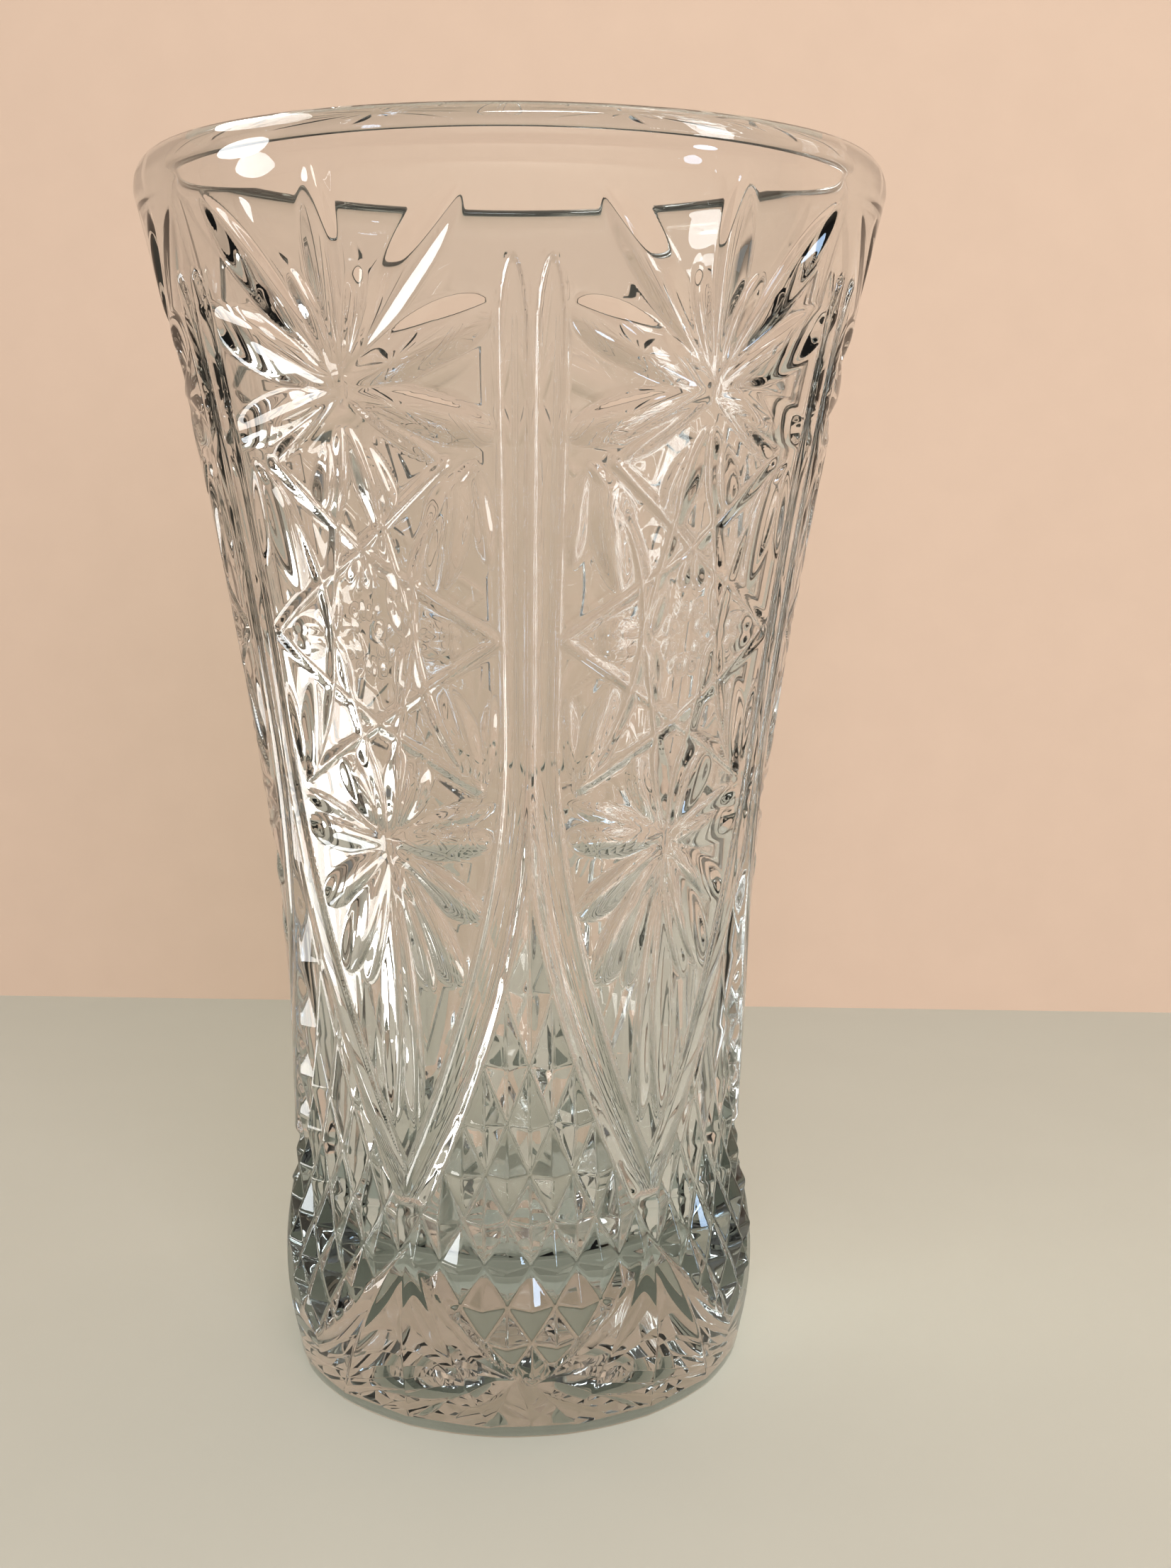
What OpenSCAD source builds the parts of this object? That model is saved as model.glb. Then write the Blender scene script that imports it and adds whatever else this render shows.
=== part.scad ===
// Cut crystal vase: a flared glass body on a thick rounded foot, with six star panels,
// six split ribs that part into crossing arches, and a field of diamonds under each rib.
// Millimetres, +Z up, origin at the middle of the foot's resting face, front rib towards -Y.
// Places on the wall are pairs: degrees round the vase from the piece's middle, and height.

/* [Vase] */
// Overall height
vase_h = 248; // [205:1:320]
// Outside diameter where the lip is widest
lip_d = 148; // [124:1:180]
// Outside diameter at the waist
waist_d = 95; // [80:1:116]
// Height of the waist above the table
waist_z = 54; // [44:1:66]
// Outside diameter of the foot at its widest
foot_d = 103; // [86:1:124]
// Height at which the foot is widest
foot_z = 20; // [16:1:23]
// Diameter of the flat that the vase rests on
rest_d = 96; // [80:1:102]

/* [Glass] */
// Thickness of the wall at the lip
lip_wall = 7; // [6.4:0.1:8]
// Thickness of the wall at the waist
waist_wall = 9; // [7:0.1:11]
// Thickness of the bottom
floor_t = 24; // [20:0.5:29]
// Height of the plain rounded lip
lip_h = 9; // [7:0.1:11]
// Radius of the rounding on the outside of the lip
lip_round = 5.5; // [4.4:0.1:5.8]

/* [Ribs] */
// Width of one split rib, in degrees round the vase
rib_w = 10.8; // [9:0.1:13]
// How far the two beads of a rib stand out of the wall
rib_rise = 0.9; // [0.5:0.1:1.1]
// Half width of the plain strips between and beside the beads, in degrees
bead_gap = 0.6; // [0.4:0.1:0.8]
// Distance from the lip down to the tops of the beads
rib_drop = 24; // [20:1:30]
// Height at which each rib splits into two arches
split_z = 140; // [115:1:168]
// Height at which neighbouring arches cross
cross_z = 48; // [40:1:58]

/* [Stars] */
// Distance from the lip down to the middle of the upper stars
upper_star_drop = 45.5; // [40:0.5:55]
// Height of the middle of the lower stars
lower_star_z = 119.5; // [100.5:1:143.5]
// Depth of the petal cuts
petal_depth = 1.7; // [1:0.1:2.2]
// Width of the thin mitre cuts
mitre_w = 2.2; // [1.6:0.1:2.8]
// Depth of the thin mitre cuts
mitre_depth = 1.2; // [0.8:0.1:1.6]

/* [Diamonds] */
// Rows of diamonds on each rib line
diamond_rows = 5; // [4:1:6]
// Width of one diamond, in degrees round the vase
diamond_w = 10.9; // [9:0.1:13]
// Height of the top corner of the second row
diamond_z = 76; // [64:1:92]
// Width of the grooves between diamonds
diamond_groove_w = 3; // [2:0.1:3.6]
// Depth of the grooves between diamonds
diamond_groove_depth = 1.6; // [1:0.1:2]

/* [Foot] */
// Flutes in each fan on the foot
fan_flutes = 5; // [3:2:7]
// Width of one flute
flute_w = 6; // [4:0.1:7]
// Depth of one flute
flute_depth = 1.3; // [0.8:0.1:1.6]
// Rays of the star cut into the underside
ray_count = 16; // [12:2:20]
// Length of one ray
ray_l = 30; // [24:1:34]
// Width of one ray
ray_w = 4.5; // [3:0.1:5.5]
// Depth of one ray
ray_depth = 1.2; // [0.8:0.1:1.5]

/* [Hidden] */
PANELS = 6;
$fn = 96;

pitch_a = 360 / PANELS;
front_a = -90;
wall_top = vase_h - lip_h;
lip_z = vase_h - lip_round;
inner_round = lip_wall - lip_round;
rib_top = vase_h - rib_drop;
upper_star_z = vase_h - upper_star_drop;
star_gap = upper_star_z - lower_star_z;
eye_z = (upper_star_z + lower_star_z) / 2 - 3;
panel_half = (pitch_a - rib_w) / 2;
rib_half = rib_w / 2;
bead_middle = rib_half / 2;
field_gap = bead_gap / 2;
flare_power = 1.65;
outer_step = 20;
inner_step = 50;
foot_step = 5;
arch_steps = 8;
arch_margin = 15;
cutter_near = 8;
cutter_far = 130;
cutter_lift = 3;
clear = [0.92, 0.93, 0.91, 0.55];
tint = [0.84, 0.88, 0.85, 0.6];

// Petals of the upper star, from its middle: start place, tip place and width.
upper_petals = [
    [[0.6, 2], [0.6, 36], 3.6],
    [[1, 3], [6, 19], 3.6],
    [[1.5, 2], [panel_half - 4, 33], 6],
    [[2, 1], [panel_half - 1, 12], 9],
    [[2, -1], [panel_half - 1, -7], 8],
    [[2, -3], [panel_half - 8, -13], 3],
    [[1.2, -9], [3.6, -23], 4],
    [[5, -11], [8, -21], 4]
];
// Petals of the lower star, from its middle, in the same form.
lower_petals = [
    [[1.2, 4], [3.4, 19], 4],
    [[4, 6], [8, 18], 5],
    [[2, 2], [panel_half - 2, 7], 3],
    [[2, 0], [panel_half - 2, 2], 7],
    [[2, -2], [panel_half - 5, -14], 7],
    [[1.5, -5], [panel_half - 10, -29], 7],
    [[2, -20], [3, cross_z - lower_star_z + 18], 5]
];

// Outer radius of the glass at height z: foot, waist, then a widening flare.
function foot_curve(z) = rest_d / 2 + (foot_d - rest_d) / 2 * sin(90 * z / foot_z);
function waist_curve(z) =
    waist_d / 2 + (foot_d - waist_d) / 4 * (1 + cos(180 * (z - foot_z) / (waist_z - foot_z)));
function flare_curve(z) =
    waist_d / 2 + (lip_d - waist_d) / 2 * pow((z - waist_z) / (lip_z - waist_z), flare_power);
function outer_r(z) =
    z < foot_z ? foot_curve(z) : z < waist_z ? waist_curve(z) : flare_curve(z);

// Radius of the hollow at height z: straight to the waist, then following the flare.
function wall_at(z) = waist_wall + (lip_wall - waist_wall) * (z - waist_z) / (lip_z - waist_z);
function hollow_r(z) = z < waist_z ? waist_d / 2 - waist_wall : flare_curve(z) - wall_at(z);

// Heights of the profile's rings from low to high, on steps that every piece shares.
function rings(low, high, step) =
    concat([low], [for (k = [floor(low / step) + 1 : ceil(high / step) - 1]) k * step], [high]);

// How far an arch has moved sideways from its rib at height z, in degrees, and the reverse.
spread_rate = (pitch_a / 2 - bead_middle) / pow(split_z - cross_z, 2);
function spread(z) = z > split_z ? 0 : spread_rate * pow(split_z - z, 2);
function spread_z(angle) = split_z - sqrt(angle / spread_rate);

// A point on the outer wall, u degrees round from +X at height z.
function on_wall(place) = [
    outer_r(place[1]) * cos(place[0]),
    outer_r(place[1]) * sin(place[0]),
    place[1]
];

// A slice of the wall, spread evenly about +X, between two heights.
module wall_slice(angle, low, high, rise = 0) {
    outside = rings(low, high, outer_step);
    inside = rings(low, high, inner_step);
    rotate([0, 0, -angle / 2])
        rotate_extrude(angle = angle)
            polygon(concat(
                [for (z = outside) [outer_r(z) + rise, z]],
                [for (i = [len(inside) - 1 : -1 : 0]) [hollow_r(inside[i]), inside[i]]]
            ));
}

// Everything between the two curves that run beside an arch pair, shift degrees outside
// its middle lines, from the floor up to the top height.
module arch_prism(shift, top) {
    heights = [for (i = [0 : arch_steps]) floor_t - 1 + (top - floor_t + 1) * i / arch_steps];
    function half(z) = outer_r(z) * sin(min(spread(z) + shift, pitch_a / 2 + arch_margin));
    rotate([90, 0, 90])
        translate([0, 0, cutter_near])
            linear_extrude(cutter_far)
                polygon(concat(
                    [for (z = heights) [half(z), z]],
                    [for (i = [arch_steps : -1 : 0]) [-half(heights[i]), heights[i]]]
                ));
}

// Boat-shaped cutter between two points of a surface, deepest in the middle.
// The surface's outward direction there is out.
module boat(start, end, middle, out, width, depth) {
    along = (end - start) / norm(end - start);
    side = cross(out, along) / norm(cross(out, along)) * width / 2;
    points = [start, end, middle + side, middle - side, middle - out * depth, middle + out * cutter_lift];
    polyhedron(
        points,
        [[2, 0, 4], [1, 2, 4], [3, 1, 4], [0, 3, 4], [0, 2, 5], [2, 1, 5], [1, 3, 5], [3, 0, 5]]
    );
}

// One petal cut in the wall between the places a and b.
module petal_cut(a, b, width, depth) {
    middle = on_wall((a + b) / 2);
    out = [middle[0], middle[1], 0] / norm([middle[0], middle[1]]);
    boat(on_wall(a), on_wall(b), middle, out, width, depth);
}

// One straight groove with a V section from a to b, with square ends.
module groove_cut(a, b, width, depth) {
    start = on_wall(a);
    end = on_wall(b);
    along = (end - start) / norm(end - start);
    out = [start[0] + end[0], start[1] + end[1], 0];
    side = cross(out, along) / norm(cross(out, along));
    face = cross(along, side);
    half = width / 2 * (1 + cutter_lift / depth);
    multmatrix([
        [side[0], face[0], along[0], start[0]],
        [side[1], face[1], along[1], start[1]],
        [side[2], face[2], along[2], start[2]],
        [0, 0, 0, 1]
    ])
        linear_extrude(norm(end - start))
            polygon([[0, -depth], [half, cutter_lift], [-half, cutter_lift]]);
}

// Puts what is cut on one side of the middle line on the other side too.
module both_sides() {
    children();
    mirror([0, 1, 0]) children();
}

// Star of petal cuts round a middle at height z.
module star(petals, z) {
    both_sides()
        for (petal = petals)
            petal_cut(petal[0] + [0, z], petal[1] + [0, z], petal[2], petal_depth);
}

// Thin mitre cuts that cross above, below and beside the oval between the two stars.
module mitre_net() {
    side = panel_half - 5;
    inside = 9;
    both_sides() {
        petal_cut([side, eye_z + star_gap * 0.38], [-inside, eye_z + star_gap * 0.1], mitre_w, mitre_depth);
        petal_cut([side, eye_z - star_gap * 0.34], [-inside, eye_z - star_gap * 0.1], mitre_w, mitre_depth);
        petal_cut([side, eye_z + star_gap * 0.36], [3, eye_z - star_gap * 0.28], mitre_w, mitre_depth);
        petal_cut([side, eye_z - star_gap * 0.32], [3, eye_z + star_gap * 0.28], mitre_w, mitre_depth);
    }
}

// Grooves of the diamond field: two crossing families that run alongside the arches.
module diamond_grooves() {
    first = spread(diamond_z);
    both_sides()
        for (row = [0 : diamond_rows - 1]) {
            top = spread_z(max(first + (row - 1) * diamond_w, diamond_w / 8));
            middle = (top + floor_t) / 2;
            places = [for (z = [top, middle, floor_t]) [spread(z) - spread(top), z]];
            groove_cut(places[0], places[1], diamond_groove_w, diamond_groove_depth);
            groove_cut(places[1], places[2], diamond_groove_w, diamond_groove_depth);
        }
}

// Flutes that open like a fan down the side of the foot.
module foot_fan() {
    for (k = [0 : fan_flutes - 1]) {
        lean = (k - (fan_flutes - 1) / 2) * pitch_a / (fan_flutes + 1);
        petal_cut([lean / 2, floor_t], [lean, foot_z / 6], flute_w, flute_depth);
    }
}

// Star of rays cut into the underside, clear of the ring that the vase rests on.
module base_star() {
    inner = ray_w;
    for (k = [0 : ray_count - 1])
        rotate([0, 0, 360 * k / ray_count])
            boat([inner, 0, 0], [inner + ray_l, 0, 0], [inner + ray_l / 2, 0, 0], [0, 0, -1], ray_w, ray_depth);
}

module base() {
    color(tint)
        difference() {
            rotate_extrude()
                polygon(concat(
                    [[0, 0]],
                    [for (z = rings(0, foot_z, foot_step)) [outer_r(z), z]],
                    [[outer_r(floor_t), floor_t], [0, floor_t]]
                ));
            for (i = [0 : PANELS - 1])
                rotate([0, 0, front_a + pitch_a * (i + 0.5)])
                    foot_fan();
            base_star();
        }
}

module rim() {
    lip_r = lip_d / 2;
    crest_r = lip_r - lip_round;
    color(clear)
        rotate_extrude() {
            polygon([
                [hollow_r(wall_top), wall_top],
                [outer_r(wall_top), wall_top],
                [lip_r, lip_z],
                [crest_r, vase_h],
                [lip_r - lip_wall, vase_h - inner_round],
                [lip_r - lip_wall, lip_z]
            ]);
            translate([crest_r, lip_z])
                circle(lip_round);
            translate([crest_r, vase_h - inner_round])
                circle(inner_round);
        }
}

module star_panel(i) {
    color(clear)
        rotate([0, 0, front_a + pitch_a * (i - 0.5)])
            difference() {
                wall_slice(pitch_a, floor_t, wall_top);
                for (turn = [-pitch_a / 2, pitch_a / 2])
                    rotate([0, 0, turn])
                        arch_prism(rib_half, wall_top + 1);
                star(upper_petals, upper_star_z);
                star(lower_petals, lower_star_z);
                mitre_net();
            }
}

module split_rib(i) {
    color(clear)
        rotate([0, 0, front_a + pitch_a * (i - 1)])
            difference() {
                union() {
                    intersection() {
                        wall_slice(pitch_a, floor_t, wall_top);
                        arch_prism(rib_half, wall_top + 1);
                    }
                    beads();
                }
                arch_prism(field_gap, split_z);
            }
}

// The two raised beads of a rib and of its arches.
module beads() {
    difference() {
        intersection() {
            wall_slice(pitch_a, floor_t, rib_top, rib_rise);
            arch_prism(rib_half - bead_gap, rib_top);
        }
        arch_prism(bead_gap, rib_top + 1);
    }
}

module diamond_field(i) {
    color(tint)
        rotate([0, 0, front_a + pitch_a * (i - 1)])
            difference() {
                intersection() {
                    wall_slice(pitch_a, floor_t, split_z);
                    arch_prism(field_gap, split_z);
                }
                diamond_grooves();
            }
}

base();
rim();
for (i = [1 : PANELS]) {
    star_panel(i);
    split_rib(i);
    diamond_field(i);
}
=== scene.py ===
"""Cut crystal vase: one closed mesh of clear glass, cut all round from a smooth blank.

Lengths are millimetres until the mesh is made. Places on the wall are pairs: degrees
round the vase from a panel's middle, and height above the table. The cuts are drawn for
one half of a panel and mirrored, and each of the six panels gets the same ones.
"""
import math

import bpy
import numpy as np
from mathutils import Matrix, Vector


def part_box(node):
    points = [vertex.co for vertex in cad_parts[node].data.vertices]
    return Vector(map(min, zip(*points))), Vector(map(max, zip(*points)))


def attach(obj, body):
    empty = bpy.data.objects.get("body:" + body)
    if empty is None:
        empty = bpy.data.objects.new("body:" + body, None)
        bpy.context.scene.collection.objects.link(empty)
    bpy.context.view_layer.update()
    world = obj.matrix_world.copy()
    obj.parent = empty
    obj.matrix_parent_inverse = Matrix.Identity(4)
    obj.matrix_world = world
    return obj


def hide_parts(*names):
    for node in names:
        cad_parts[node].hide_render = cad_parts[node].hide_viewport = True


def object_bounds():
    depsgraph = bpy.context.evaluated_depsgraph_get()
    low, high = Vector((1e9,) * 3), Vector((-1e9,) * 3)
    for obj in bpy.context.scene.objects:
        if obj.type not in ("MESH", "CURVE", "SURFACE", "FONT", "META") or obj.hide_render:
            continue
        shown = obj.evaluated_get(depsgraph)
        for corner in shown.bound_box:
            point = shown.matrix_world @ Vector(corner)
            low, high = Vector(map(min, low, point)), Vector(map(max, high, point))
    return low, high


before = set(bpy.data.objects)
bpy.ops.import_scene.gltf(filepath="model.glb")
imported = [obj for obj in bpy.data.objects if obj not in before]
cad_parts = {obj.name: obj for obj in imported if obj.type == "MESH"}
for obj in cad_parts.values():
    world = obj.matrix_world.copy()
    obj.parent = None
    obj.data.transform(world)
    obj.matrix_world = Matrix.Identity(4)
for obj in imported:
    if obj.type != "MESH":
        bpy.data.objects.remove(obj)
cad_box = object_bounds()

MM = 0.001
PANELS = 6
PITCH = 360 / PANELS
HALF_PITCH = PITCH / 2
FRONT = -90.0
TINY = 0.05


def box_mm(node):
    """A CAD node's lowest and highest corners, in millimetres."""
    return [[value / MM for value in corner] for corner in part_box(node)]


# Sizes that the CAD parts set.
VASE_H = cad_box[1][2] / MM
LIP_R = box_mm("rim")[1][0]
FOOT_R = box_mm("base")[1][0]
FLOOR_Z = box_mm("base")[1][2]
SPLIT_Z = box_mm("diamond_field_1")[1][2]

# The blank's profile: resting ring, foot, waist and flare.
REST_R = 48.0
FOOT_Z = 20.0
FOOT_POWER = 0.8
WAIST_R = 47.5
WAIST_Z = 54.0
WAIST_WALL = 9.0
FLARE_POWER = 1.65
FLOOR_ROUND = 14.0

# The lip: a broad rounding outside, a small one inside, and where the flare meets it.
LIP_WALL = 7.0
LIP_OUT = (5.0, 6.5)
LIP_IN = (2.0, 4.0)
LIP_START = -17.0
LIP_Z = VASE_H - LIP_OUT[1]
FLARE_R = LIP_R + 0.24

# The star of rays cut into the underside, inside the ring that the vase rests on.
RAYS = 16
RAY_DEPTH = 1.2
RAY_R = 38.0
RAY_MIDDLE_R = 1.5
RAY_FADE_R = 8.0
REST_EDGE = 0.8
REST_GAP = 2.0

# Mesh density: cells round, up the wall, inside and over the lip.
ROUND_CELLS = 1080
WALL_CELLS = 400
INNER_SHARE = 3
INNER_CELLS = 60
RAY_CELLS = 26
LIP_OUT_CELLS = 14
LIP_IN_CELLS = 8
FLOOR_CELLS = 9
FLOOR_SHARES = (0.75, 0.5, 0.25, 0.1)

# Heights of the stars and of the rosette between them.
UPPER_Z = VASE_H - 45.5
LOWER_Z = 119.5
EYE_Z = 158.5

# Ribs: two beads side by side, which part at SPLIT_Z and cross the next rib's at CROSS_Z.
CROSS_Z = 48.0
RIB_TOP_Z = VASE_H - 24
RIB_TOP_ROUND = 14.0
BEAD_MIDDLE = 2.7
BEAD_RISE = 0.8
BEAD_HALF = 2.35
BEAD_WIDENS = 1.0
BEAD_WIDENS_OVER = 60.0
BEAD_POWER = 0.8
BEAD_FULL = 1.2

# Edges between the regions: how far each reaches over its line, and over what width.
FIELD_EDGE = (0.4, 1.5)
PANEL_EDGE = (0.3, 0.6)
FAN_EDGE = (0.5, 1.0)
FOOT_EDGE = (1.0, 3.0)
OUTER_GROOVE = (1.2, 0.6)
INNER_GROOVE = (1.2, 0.4)
GROOVE_BLEND = 0.3
NARROWEST_GROOVED = 0.4

# Raised diamonds, in a net that follows the arches and closes at DIAMOND_Z.
DIAMOND_Z = 76.0
DIAMOND_W = 360 / 33
DIAMOND_DEPTH = 2.3
DIAMOND_ROUND = 0.06

# Fans of flutes in the foot.
FAN_Z = 38.0
FAN_LOW_Z = 13.0
FAN_POWER = 1.2
FAN_RISE = 2.0
FAN_DEPTH = 0.6
FAN_AT_REST = 0.35
FAN_FADE_Z = 8.0
FLUTE_TURN = 26
FLUTE_DEPTH = 0.45
FLUTE_FADE = 10.0

# Shape of every petal: depth at its start, rounding of its valley, and its deepest place.
NECK = 0.14
NECK_RISE = 6.0
VALLEY = 0.2
DEEPEST = 0.62
CREASE = 0.3
CUT_BLEND = 0.4
NOT_CUT = -2

# Petals: start and tip from the star's middle, then width, depth and power.
UPPER_STAR = [
    [(0.0, 1.5), (0.0, 37.0), 7.0, 2.0, 1.4],
    [(0.6, 2.5), (5.8, 20.0), 4.6, 1.6, 1.8],
    [(1.0, 2.0), (21.0, 33.0), 7.6, 2.2, 1.35],
    [(1.2, 0.8), (25.0, 13.5), 9.5, 2.4, 2.0],
    [(1.2, -0.8), (25.0, -8.0), 7.6, 2.1, 2.0],
    [(1.4, -2.0), (16.5, -13.0), 3.2, 1.2, 1.2],
    [(0.6, -7.0), (4.2, -22.5), 4.4, 1.8, 1.5],
    [(3.2, -10.0), (7.0, -22.0), 5.4, 1.6, 1.7],
]
LOWER_STAR = [
    [(0.6, 3.0), (4.4, 20.0), 4.2, 1.7, 1.5],
    [(2.6, 4.0), (9.0, 17.0), 6.6, 1.7, 1.8],
    [(1.4, 1.5), (22.5, 8.5), 4.6, 1.5, 1.3],
    [(1.4, 0.2), (22.5, 2.0), 6.6, 2.1, 2.0],
    [(1.4, -1.5), (20.0, -13.5), 6.6, 2.1, 2.0],
    [(1.2, -3.0), (14.8, -27.0), 7.6, 2.2, 2.0],
    [(0.9, -5.0), (8.0, -28.0), 4.6, 1.7, 2.0],
    [(0.6, -7.0), (2.9, -56.0), 5.4, 2.2, 1.8],
]
EYE_LEAVES = [
    [(14.0, 8.5), (18.0, 30.0), 8.0, 1.6, 1.6],
    [(14.5, -8.5), (20.0, -28.0), 7.4, 1.6, 1.6],
    [(9.6, 1.5), (18.0, 1.5), 5.0, 1.1, 1.3],
    [(9.6, -1.5), (18.0, -1.5), 5.0, 1.1, 1.3],
    [(21.4, 30.0), (23.0, 13.0), 3.6, 1.2, 1.5],
    [(21.4, -26.0), (23.0, -10.0), 3.4, 1.1, 1.5],
    [(5.6, 9.5), (7.6, 0.6), 3.2, 1.1, 2.0],
    [(5.4, -9.5), (7.4, -0.6), 3.2, 1.1, 2.0],
    [(0.6, 15.5), (1.8, 9.0), 3.0, 1.0, 2.0],
]

# The rosette's ring of dots.
ROSETTE_DOTS = 8
ROSETTE_R = (3.8, 5.6)
DOT_R = 1.5
DOT_DEPTH = 0.4

# Mitre cuts round the rosette: straight ones, and a curved pair at each side.
MITRE_W = 2.4
MITRE_DEPTH = 1.2
MITRE_LINES = [
    [(16.5, 190.0), (0.0, 174.5)],
    [(0.0, 174.5), (-24.0, 158.5)],
    [(24.0, 158.5), (0.0, 142.5)],
    [(0.0, 142.5), (-20.0, 131.0)],
]
SIDE_MITRE_U = 8.6
SIDE_MITRE_Z = 1.5
SIDE_MITRE_CURVE = 0.0135
SIDE_MITRE_LEAN = 0.23
SIDE_MITRE_REACH = (29, 30)


# ---------------------------------------------------------------- profile
def foot_curve(z):
    """Outside radius from the table to the foot's widest place."""
    swell = np.sin(np.pi / 2 * np.clip(z / FOOT_Z, 0, 1)) ** FOOT_POWER
    return REST_R + (FOOT_R - REST_R) * swell


def waist_curve(z):
    """Outside radius from the foot's widest place in to the waist."""
    turn = np.clip((z - FOOT_Z) / (WAIST_Z - FOOT_Z), 0, 1)
    return WAIST_R + (FOOT_R - WAIST_R) * (1 + np.cos(np.pi * turn)) / 2


def flare_curve(z):
    """Outside radius from the waist out to the lip."""
    rise = np.clip((z - WAIST_Z) / (LIP_Z - WAIST_Z), 0, 1)
    return WAIST_R + (FLARE_R - WAIST_R) * rise ** FLARE_POWER


def outer_r(z):
    """Outside radius of the uncut blank at height z."""
    z = np.asarray(z, float)
    low = np.where(z < FOOT_Z, foot_curve(z), waist_curve(z))
    return np.where(z < WAIST_Z, low, flare_curve(z))


def hollow_r(z):
    """Inside radius at height z, above the rounded corner of the floor."""
    z = np.asarray(z, float)
    share = np.clip((z - WAIST_Z) / (LIP_Z - WAIST_Z), 0, 1)
    wall = WAIST_WALL + (LIP_WALL - WAIST_WALL) * share
    return np.where(z < WAIST_Z, WAIST_R - WAIST_WALL, flare_curve(z) - wall)


def mm_per_degree(z):
    """Length of one degree round the blank at height z."""
    return outer_r(z) * math.pi / 180


# ---------------------------------------------------------------- cuts
def smooth_max(a, b, blend):
    """The greater of two, with the crease between them rounded over a width of blend."""
    near = np.maximum(blend - np.abs(a - b), 0)
    return np.maximum(a, b) + near ** 2 / (4 * blend)


def soft_abs(value, round_off):
    """Size of a value, with the crease at nought rounded."""
    size = np.abs(value)
    return np.where(size < round_off, size ** 2 / (2 * round_off) + round_off / 2, size)


def smooth_step(value):
    """Nought below 0 and one above 1, with a smooth change between."""
    value = np.clip(value, 0, 1)
    return value * value * (3 - 2 * value)


def past_edge(distance, edge):
    """How fully a region holds at a distance inside its line."""
    reach, width = edge
    return smooth_step((distance + reach) / width)


def saw(phase):
    """A wave that goes from one to nought and back once for every whole phase."""
    return 2 * (phase - np.floor(phase)) - 1


def spread(z):
    """How far an arch has moved sideways from its rib at height z, in degrees."""
    rate = (HALF_PITCH - BEAD_MIDDLE) / (SPLIT_Z - CROSS_Z) ** 2
    return np.where(z < SPLIT_Z, rate * (SPLIT_Z - z) ** 2, 0)


def petal(u, z, scale, start, tip, width, depth, power):
    """Depth of one scooped petal. power 1 gives pointed ends, and 2 gives round ones."""
    ax, ay = start[0] * scale, start[1]
    dx, dy = tip[0] * scale - ax, tip[1] - ay
    length = math.hypot(dx, dy)
    along = ((u * scale - ax) * dx + (z - ay) * dy) / length
    across = ((u * scale - ax) * dy - (z - ay) * dx) / length
    share = along / length
    after = 1 - ((share - DEEPEST) / (1 - DEEPEST)) ** 2
    before = 1 - (1 - NECK) * ((DEEPEST - share) / DEEPEST) ** 2
    body = np.where(share > DEEPEST, after, before)
    body = np.where(share < 0, NECK + NECK_RISE * share, body)
    return depth * (body - soft_abs(2 * across / width, VALLEY) ** power)


def groove(distance, width, depth):
    """Depth of a V groove at a distance from its middle line."""
    return depth * (1 - soft_abs(2 * distance / width, CREASE))


class Cuts:
    """The deepest of many cuts at every point, with slightly rounded ridges."""

    def __init__(self, u, z):
        self.u = u
        self.z = z
        self.depth = np.zeros_like(u)

    def add(self, cut):
        self.depth = smooth_max(self.depth, np.maximum(cut, NOT_CUT), CUT_BLEND)

    def petals(self, middle_z, rows):
        scale = float(mm_per_degree(middle_z))
        for start, tip, *shape in rows:
            for side in (1, -1):
                low = (start[0] * side, start[1] + middle_z)
                high = (tip[0] * side, tip[1] + middle_z)
                self.add(petal(self.u, self.z, scale, low, high, *shape))


def straight_mitres(cuts):
    """Thin straight cuts that cross above and below the rosette."""
    scale = float(mm_per_degree(EYE_Z))
    for (u_a, z_a), (u_b, z_b) in MITRE_LINES:
        for side in (1, -1):
            dx = (u_b - u_a) * side * scale
            dy = z_b - z_a
            length = math.hypot(dx, dy)
            px = (cuts.u - u_a * side) * scale
            py = cuts.z - z_a
            along = (px * dx + py * dy) / length
            across = (px * dy - py * dx) / length
            past = np.maximum(np.maximum(-along, along - length), 0)
            cuts.add(groove(across, MITRE_W, MITRE_DEPTH) - past)


def side_mitres(cuts):
    """Curved cuts that pass the rosette on both sides and cross beside it."""
    scale = float(mm_per_degree(EYE_Z))
    reach_up, reach_down = SIDE_MITRE_REACH
    for flip in (1, -1):
        rise = (cuts.z - EYE_Z - SIDE_MITRE_Z) * flip
        bend = np.where(rise > 0, SIDE_MITRE_CURVE * rise ** 2, SIDE_MITRE_LEAN * rise)
        slope = np.where(rise > 0, 2 * SIDE_MITRE_CURVE * rise, SIDE_MITRE_LEAN) * scale
        past = np.maximum(np.maximum(rise - reach_up, -reach_down - rise), 0)
        for side in (1, -1):
            away = cuts.u - (SIDE_MITRE_U + bend) * side
            across = away * scale / np.sqrt(1 + slope ** 2)
            cuts.add(groove(across, MITRE_W, MITRE_DEPTH) - past)


def rosette(cuts):
    """A ring of small round dots in the oval between the stars."""
    scale = float(mm_per_degree(EYE_Z))
    for k in range(ROSETTE_DOTS):
        turn = 2 * math.pi * (k + 0.5) / ROSETTE_DOTS
        dot_u = ROSETTE_R[0] * math.cos(turn)
        dot_z = EYE_Z + ROSETTE_R[1] * math.sin(turn)
        away = np.hypot((cuts.u - dot_u) * scale, cuts.z - dot_z) / DOT_R
        cuts.add(DOT_DEPTH * (1 - away ** 2))


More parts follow.
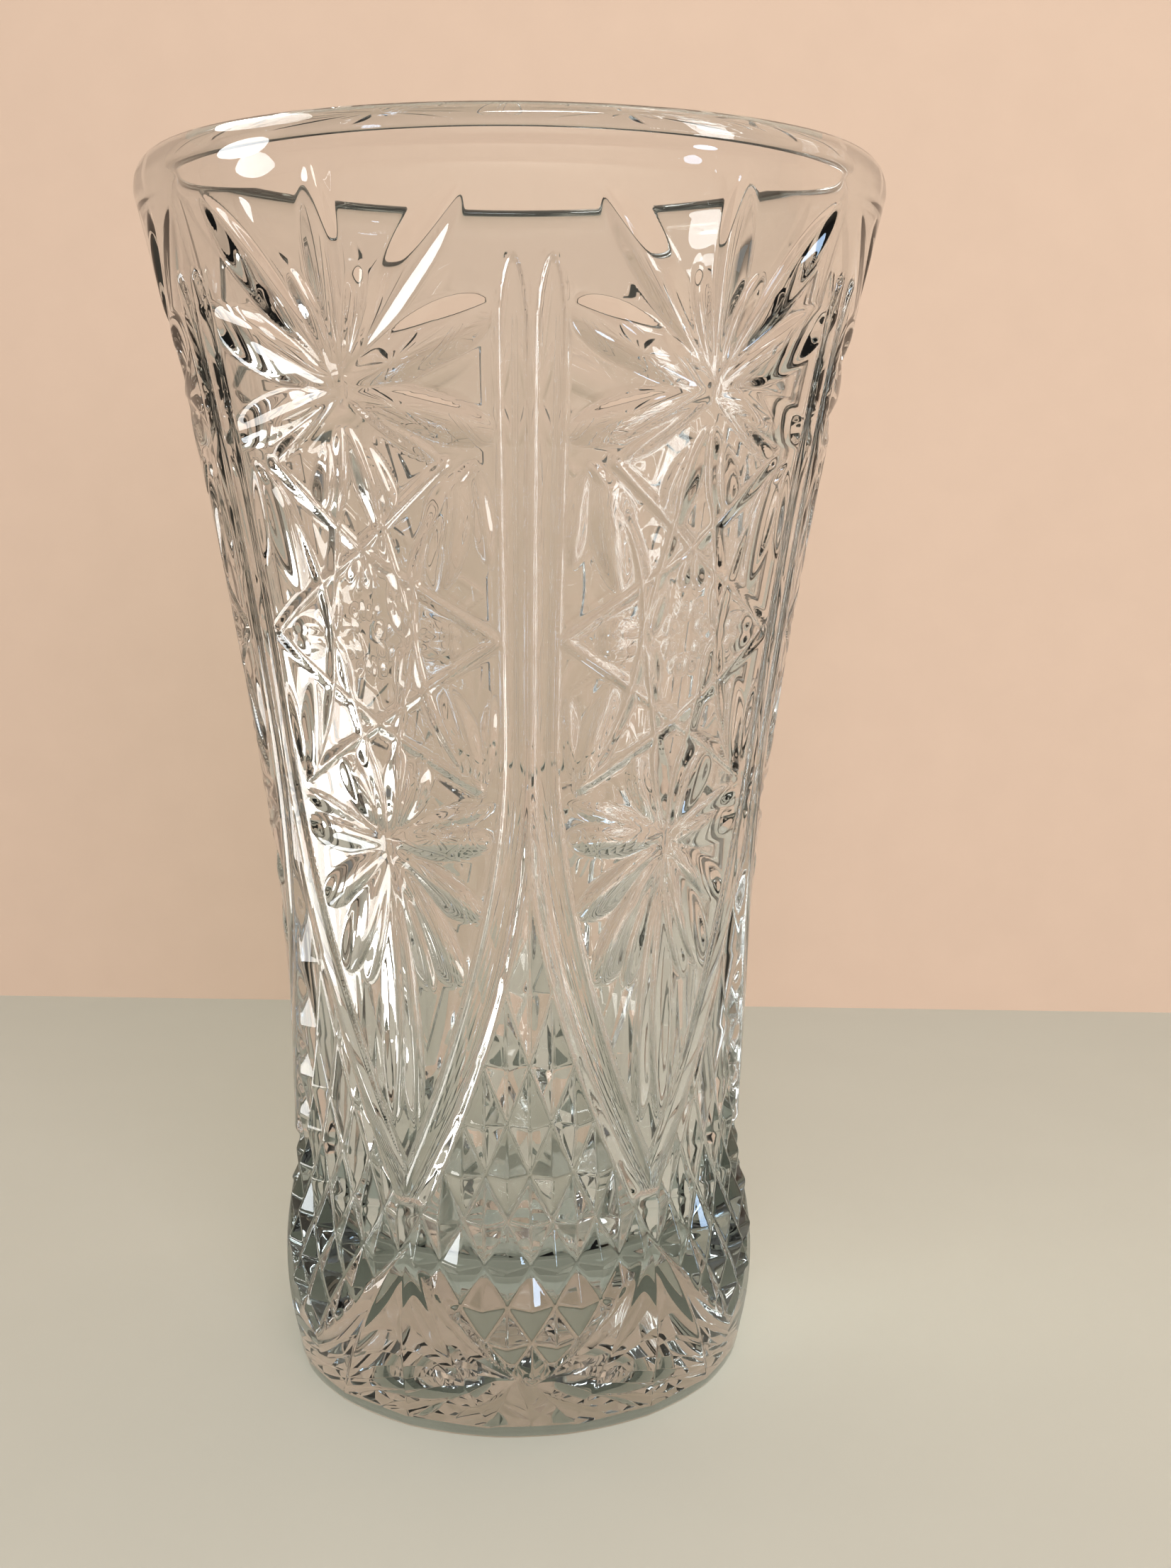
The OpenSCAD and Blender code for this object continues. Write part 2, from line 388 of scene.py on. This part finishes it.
def beads(from_rib, z):
    """How far the two beads of a rib and its arches stand out, and where they lie."""
    half_width = BEAD_HALF + BEAD_WIDENS * smooth_step((SPLIT_Z - z) / BEAD_WIDENS_OVER)
    top = np.clip((z - RIB_TOP_Z + RIB_TOP_ROUND) / RIB_TOP_ROUND, 0, 1)
    half_width = half_width * np.sqrt(np.maximum(1 - top ** 2, 0))
    middle = BEAD_MIDDLE + spread(z)
    across = np.abs(np.abs(from_rib) - middle) / np.maximum(half_width, TINY)
    crown = np.maximum(1 - across ** 2, 0) ** BEAD_POWER
    return crown * smooth_step(half_width / BEAD_FULL), middle, half_width


def diamonds(round_angle, z):
    """Depth between raised four-sided diamonds, in a net that runs right round the vase."""
    lean = spread(z) - float(spread(DIAMOND_Z))
    waves = [
        soft_abs(saw((round_angle * side + lean) / DIAMOND_W), DIAMOND_ROUND)
        for side in (1, -1)
    ]
    return DIAMOND_DEPTH * smooth_max(*waves, DIAMOND_ROUND)


def fan(u, z):
    """Depth of the flutes that open downwards from the middle of each panel's foot."""
    sideways = u * FOOT_R * math.pi / 180
    below = FAN_Z + FAN_RISE - z
    angle = np.degrees(np.arctan2(sideways, below))
    wave = 1 - saw(angle / FLUTE_TURN) ** 2
    flutes = FLUTE_DEPTH * wave * smooth_step(np.hypot(sideways, below) / FLUTE_FADE)
    at_table = FAN_AT_REST + (1 - FAN_AT_REST) * smooth_step(z / FAN_FADE_Z)
    return (FAN_DEPTH + flutes) * at_table


def wall_depth(angle, z):
    """How deep the glass is cut at every angle round the vase and height."""
    from_rib = (angle - FRONT + HALF_PITCH) % PITCH - HALF_PITCH
    u = (angle - FRONT) % PITCH - HALF_PITCH
    cuts = Cuts(u, z)
    cuts.petals(UPPER_Z, UPPER_STAR)
    cuts.petals(LOWER_Z, LOWER_STAR)
    cuts.petals(EYE_Z, EYE_LEAVES)
    straight_mitres(cuts)
    side_mitres(cuts)
    rosette(cuts)

    raised, middle, half_width = beads(from_rib, z)
    scale = mm_per_degree(z)
    inside = (middle - half_width - np.abs(from_rib)) * scale
    outside = (np.abs(from_rib) - middle - half_width) * scale

    fan_top = FAN_LOW_Z + (FAN_Z - FAN_LOW_Z) * (1 - np.abs(u) / HALF_PITCH) ** FAN_POWER
    in_fan = past_edge(fan_top - z, FAN_EDGE)
    in_foot = past_edge(CROSS_Z - z, FOOT_EDGE)
    in_field = past_edge(inside, FIELD_EDGE) * (z < SPLIT_Z)
    in_field = np.maximum(in_field, in_foot) * (1 - in_fan)
    in_panel = past_edge(outside, PANEL_EDGE) * (1 - in_foot)

    depth = cuts.depth * in_panel
    depth = depth + diamonds(angle - FRONT, z) * in_field
    depth = depth + fan(u, z) * in_fan
    edge = np.maximum(groove(outside, *OUTER_GROOVE), groove(inside, *INNER_GROOVE))
    grooved = (half_width > NARROWEST_GROOVED) & (in_foot < 0.5)
    edge = np.where(grooved, np.maximum(edge, 0), 0)
    depth = smooth_max(depth, edge, GROOVE_BLEND)
    return depth - BEAD_RISE * raised * (1 - in_foot)


# ---------------------------------------------------------------- mesh
def arc(middle, radii, start, end, steps):
    """Points on an ellipse about a middle (radius, height), leaving out the first."""
    turns = np.radians(np.linspace(start, end, steps + 1)[1:])
    return [(middle[0] + radii[0] * math.cos(t), middle[1] + radii[1] * math.sin(t)) for t in turns]


def underside_rings(angle, edge):
    """The underside: a star of rays cut into it, inside a flat ring to stand on."""
    rings = []
    wave = 1 - np.abs(saw(angle / 360 * RAYS))
    for r in [*np.linspace(RAY_MIDDLE_R, RAY_R, RAY_CELLS), RAY_R + REST_GAP]:
        fade = max(0, 1 - (r / RAY_R) ** 3) * min(1, r / RAY_FADE_R)
        rings.append((np.full_like(angle, r), RAY_DEPTH * wave * fade))
    rings.append((edge - REST_EDGE, np.zeros_like(angle)))
    return rings


def outer_rings():
    """Rings of points from the underside's middle, up the cut wall and over the lip."""
    angle = np.arange(ROUND_CELLS) * 360 / ROUND_CELLS
    top = LIP_Z + LIP_OUT[1] * math.sin(math.radians(LIP_START))
    heights = np.linspace(0, top, WALL_CELLS + 1)
    grid_a, grid_z = np.meshgrid(angle, heights)
    radius = outer_r(grid_z) - wall_depth(grid_a, grid_z)
    rings = underside_rings(angle, radius[0])
    rings += [(row, np.full_like(row, z)) for row, z in zip(radius, heights)]
    crest = LIP_R - LIP_OUT[0]
    for r, z in arc((crest, LIP_Z), LIP_OUT, LIP_START, 90, LIP_OUT_CELLS):
        rings.append((np.full(ROUND_CELLS, r), np.full(ROUND_CELLS, z)))
    return rings


def inner_profile():
    """Radius and height of the plain rings from the lip's crest down to the floor's middle."""
    crest = LIP_R - LIP_OUT[0]
    low = VASE_H - LIP_IN[1]
    rings = arc((crest, low), LIP_IN, 90, 180, LIP_IN_CELLS)
    for z in np.linspace(low, FLOOR_Z + FLOOR_ROUND, INNER_CELLS)[1:]:
        rings.append((min(float(hollow_r(z)), crest - LIP_IN[0]), z))
    corner = float(hollow_r(WAIST_Z)) - FLOOR_ROUND
    middle = (corner, FLOOR_Z + FLOOR_ROUND)
    rings += arc(middle, (FLOOR_ROUND, FLOOR_ROUND), 0, -90, FLOOR_CELLS)
    rings += [(corner * share, FLOOR_Z) for share in FLOOR_SHARES]
    return rings


def ring_faces(first, count, rows):
    """Four-sided faces between rows of points that follow one another in the mesh."""
    faces = []
    here = np.arange(count)
    after = (here + 1) % count
    for k in range(rows - 1):
        low = first + k * count
        high = low + count
        faces += list(zip(low + here, low + after, high + after, high + here))
    return faces


def glass_faces(few, outside_rows, inside_rows):
    """Faces of the closed glass: underside, outside, lip, inside and floor."""
    count = ROUND_CELLS
    here = np.arange(count)
    faces = [(0, b, a) for a, b in zip(1 + here, 1 + (here + 1) % count)]
    faces += ring_faces(1, count, outside_rows)
    crest = 1 + (outside_rows - 1) * count
    start = crest + count
    for j in range(few):
        fine = [crest + (j * INNER_SHARE + step) % count for step in range(INNER_SHARE + 1)]
        faces.append((*fine, start + (j + 1) % few, start + j))
    faces += ring_faces(start, few, inside_rows)
    last = start + (inside_rows - 1) * few
    here = np.arange(few)
    faces += [(a, b, last + few) for a, b in zip(last + here, last + (here + 1) % few)]
    return faces


def unwrap(mesh, turn, level):
    """A flat map of the mesh: round the vase one way, and along its profile the other."""
    corners = np.empty(len(mesh.loops), dtype=np.int32)
    mesh.loops.foreach_get("vertex_index", corners)
    starts = np.empty(len(mesh.polygons), dtype=np.int32)
    mesh.polygons.foreach_get("loop_start", starts)
    counts = np.diff(np.append(starts, len(corners)))
    across = turn[corners]
    widest = np.repeat(np.maximum.reduceat(across, starts), counts)
    over_the_join = (widest > 0.75) & (across < 0.25)
    across = np.where(over_the_join, across + 1, across)
    layer = mesh.uv_layers.new(name="OFBake")
    layer.data.foreach_set("uv", np.stack([across, level[corners]], -1).ravel())


def build_glass():
    """The whole vase as one closed mesh, finer outside than in the plain inside."""
    outside = outer_rings()
    inside = inner_profile()
    few = ROUND_CELLS // INNER_SHARE
    fine = np.arange(ROUND_CELLS) / ROUND_CELLS
    coarse = np.arange(few) / few
    middle = np.zeros(1)
    rows = [(middle, middle, middle)]
    rows += [(fine, radius, height) for radius, height in outside]
    rows += [(coarse, np.full(few, r), np.full(few, z)) for r, z in inside]
    rows += [(middle, middle, middle + inside[-1][1])]

    turn = np.concatenate([row[0] for row in rows])
    radius = np.concatenate([row[1] for row in rows])
    height = np.concatenate([row[2] for row in rows])
    last = len(rows) - 1
    level = np.concatenate([np.full(len(row[0]), k / last) for k, row in enumerate(rows)])
    angle = turn * 2 * math.pi
    verts = np.stack([radius * np.cos(angle), radius * np.sin(angle), height], -1) * MM
    faces = glass_faces(few, len(outside), len(inside))

    mesh = bpy.data.meshes.new("vase_glass")
    mesh.from_pydata(verts.tolist(), [], [tuple(int(i) for i in face) for face in faces])
    mesh.polygons.foreach_set("use_smooth", [True] * len(mesh.polygons))
    mesh.update()
    unwrap(mesh, turn, level)
    piece = bpy.data.objects.new("vase_glass", mesh)
    bpy.context.scene.collection.objects.link(piece)
    return piece


# ---------------------------------------------------------------- materials
def new_material(name):
    """An empty node material with its output node."""
    material = bpy.data.materials.new(name)
    material.use_nodes = True
    tree = material.node_tree
    tree.nodes.clear()
    return material, tree, tree.nodes.new("ShaderNodeOutputMaterial")


def add_node(tree, kind, **values):
    """A node of a kind, with values for the sockets that keep one value all over."""
    node = tree.nodes.new("ShaderNode" + kind)
    for name, value in values.items():
        node.inputs[name.replace("_", " ")].default_value = value
    return node


def noise_node(tree, scale, detail):
    """Noise that stays with the object."""
    place = tree.nodes.new("ShaderNodeTexCoord")
    noise = add_node(tree, "TexNoise", Scale=scale, Detail=detail)
    tree.links.new(place.outputs["Object"], noise.inputs["Vector"])
    return noise.outputs["Fac"]


def colour_mix(tree, factor, low, high):
    """A colour that goes from low to high with a factor."""
    mix = tree.nodes.new("ShaderNodeMix")
    mix.data_type = "RGBA"
    mix.inputs["A"].default_value = (*low, 1)
    mix.inputs["B"].default_value = (*high, 1)
    tree.links.new(factor, mix.inputs["Factor"])
    return mix.outputs["Result"]


def shader_mix(tree, factor, first, second):
    """The first shader where the factor is nought, and the second where it is one."""
    mix = tree.nodes.new("ShaderNodeMixShader")
    tree.links.new(factor, mix.inputs["Fac"])
    tree.links.new(first.outputs["BSDF"], mix.inputs[1])
    tree.links.new(second.outputs["BSDF"], mix.inputs[2])
    return mix.outputs["Shader"]


def crystal():
    """Clear crystal: polish marks in roughness and bump, and a grey-green body colour."""
    material, tree, out = new_material("crystal")
    links = tree.links
    glass = add_node(tree, "BsdfGlass", IOR=1.52)

    rough = add_node(tree, "MapRange", From_Min=0.45, From_Max=0.8, To_Min=0.0, To_Max=0.02)
    links.new(noise_node(tree, scale=60, detail=4), rough.inputs["Value"])
    links.new(rough.outputs["Result"], glass.inputs["Roughness"])

    bump = add_node(tree, "Bump", Strength=0.04, Distance=0.0006)
    links.new(noise_node(tree, scale=45, detail=1), bump.inputs["Height"])
    links.new(bump.outputs["Normal"], glass.inputs["Normal"])

    body = noise_node(tree, scale=12, detail=2)
    tint = colour_mix(tree, body, (0.99, 0.99, 0.99), (0.97, 0.98, 0.98))
    links.new(tint, glass.inputs["Color"])

    shadow = tree.nodes.new("ShaderNodeLightPath").outputs["Is Shadow Ray"]
    clear = add_node(tree, "BsdfTransparent", Color=(0.90, 0.92, 0.90, 1))
    links.new(shader_mix(tree, shadow, glass, clear), out.inputs["Surface"])

    depth = add_node(tree, "VolumeAbsorption", Color=(0.66, 0.69, 0.68, 1), Density=17)
    links.new(depth.outputs["Volume"], out.inputs["Volume"])
    return material


def plain(name, colour, grain, amount, one_sided=False):
    """A plain matt surface with a faint grain, which a one-sided sheet shows on its front only."""
    material, tree, out = new_material(name)
    matt = add_node(tree, "BsdfPrincipled", Roughness=0.9, Specular_IOR_Level=0.0)
    low = [c * (1 - amount) for c in colour]
    high = [min(1, c * (1 + amount)) for c in colour]
    grained = colour_mix(tree, noise_node(tree, scale=grain, detail=5), low, high)
    tree.links.new(grained, matt.inputs["Base Color"])
    surface = matt.outputs["BSDF"]
    if one_sided:
        behind = tree.nodes.new("ShaderNodeNewGeometry").outputs["Backfacing"]
        surface = shader_mix(tree, behind, matt, add_node(tree, "BsdfTransparent"))
    tree.links.new(surface, out.inputs["Surface"])
    return material


# ---------------------------------------------------------------- stage
STAGE_REACH = 3.0
BACK_Y = 0.25
BACK_TURN = -7.7
FLOOR_COLOUR = (0.45, 0.44, 0.38)
BACK_COLOUR = (0.46, 0.345, 0.27)
WORLD_COLOUR = (0.50, 0.47, 0.44, 1)
WORLD_STRENGTH = 0.38
WARM = (1.0, 0.97, 0.94)
DAY = (0.93, 0.97, 1.0)
COOL = (0.55, 0.74, 1.0)


def stage_sheet(name, corners, material):
    """A flat sheet that isn't part of the vase."""
    mesh = bpy.data.meshes.new(name)
    mesh.from_pydata(corners, [], [(0, 1, 2, 3)])
    mesh.materials.append(material)
    sheet = bpy.data.objects.new(name, mesh)
    bpy.context.scene.collection.objects.link(sheet)


def build_stage():
    """A pale floor and a plain warm backdrop a little way behind the vase."""
    far = STAGE_REACH
    lean = math.tan(math.radians(BACK_TURN)) * far
    left = (-far, BACK_Y - lean)
    right = (far, BACK_Y + lean)
    floor = [(-far, -far, 0), (far, -far, 0), (far, far, 0), (-far, far, 0)]
    backdrop = [(*left, 0), (*right, 0), (*right, far), (*left, far)]
    stage_sheet("stage_floor", floor, plain("floor_pale", FLOOR_COLOUR, 30, 0.02))
    warm_wall = plain("backdrop_warm", BACK_COLOUR, 60, 0.03, one_sided=True)
    stage_sheet("stage_backdrop", backdrop, warm_wall)


def look(direction):
    """Rotation that points a camera or lamp along a direction."""
    return Vector(direction).to_track_quat("-Z", "Y").to_euler()


def area_light(name, place, size, power, colour, on_stage, aim=(0, 0, VASE_H * MM / 2)):
    """A soft light, which either lights the stage or is seen only in the glass."""
    light = bpy.data.lights.new(name, "AREA")
    light.shape = "RECTANGLE" if on_stage else "ELLIPSE"
    light.size, light.size_y = size
    light.energy = power
    light.color = colour
    lamp = bpy.data.objects.new(name, light)
    lamp.location = place
    lamp.rotation_euler = look([a - p for a, p in zip(aim, place)])
    lamp.visible_camera = False
    lamp.visible_diffuse = on_stage
    lamp.visible_glossy = not on_stage
    lamp.visible_transmission = not on_stage
    bpy.context.scene.collection.objects.link(lamp)


def build_lights():
    """Two soft lights for the stage, four that sparkle in the glass, and a dim room."""
    area_light("key", (0.2, -1.8, 0.8), (1.4, 1.0), 60, WARM, on_stage=True)
    area_light("soft_top", (0.1, -0.4, 1.6), (1.2, 1.2), 12, WARM, on_stage=True)
    area_light("strip_top", (0.1, -0.3, 1.4), (0.5, 0.08), 2, DAY, on_stage=False)
    area_light("window_left", (-1.2, -0.1, 0.5), (0.4, 0.7), 9, DAY, on_stage=False)
    area_light("window_right", (0.9, -0.7, 0.35), (0.16, 0.2), 1.4, COOL, on_stage=False)
    patch = (-0.4, 0.0, 0.004)
    area_light("patch_left", patch, (0.3, 0.3), 2.0, WARM, on_stage=False, aim=(*patch[:2], 1))
    world = bpy.data.worlds.new("studio")
    world.use_nodes = True
    background = world.node_tree.nodes["Background"]
    background.inputs["Color"].default_value = WORLD_COLOUR
    background.inputs["Strength"].default_value = WORLD_STRENGTH
    bpy.context.scene.world = world
    bpy.context.scene.view_settings.view_transform = "Standard"


# ---------------------------------------------------------------- camera
CAMERA_SIDE = math.radians(2.63)
CAMERA_AWAY = 384.5
CAMERA_UP = 190.2
LOOK_SIDE = math.radians(4.81)
LOOK_DOWN = math.radians(9.95)
SENSOR_W = 36.0
LENS_SHARE = 1.5738


def build_camera():
    """Camera at the height of the upper stars, a little to the left of the front rib."""
    data = bpy.data.cameras.new("camera")
    data.sensor_fit = "HORIZONTAL"
    data.sensor_width = SENSOR_W
    data.lens = SENSOR_W * LENS_SHARE
    data.clip_start = 0.01
    camera = bpy.data.objects.new("camera", data)
    camera.location = (
        -CAMERA_AWAY * MM * math.sin(CAMERA_SIDE),
        -CAMERA_AWAY * MM * math.cos(CAMERA_SIDE),
        CAMERA_UP * MM,
    )
    camera.rotation_euler = look((
        math.sin(LOOK_SIDE) * math.cos(LOOK_DOWN),
        math.cos(LOOK_SIDE) * math.cos(LOOK_DOWN),
        -math.sin(LOOK_DOWN),
    ))
    bpy.context.scene.collection.objects.link(camera)
    bpy.context.scene.camera = camera


build_camera()
build_lights()
build_stage()
glass = build_glass()
glass.data.materials.append(crystal())
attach(glass, "root")
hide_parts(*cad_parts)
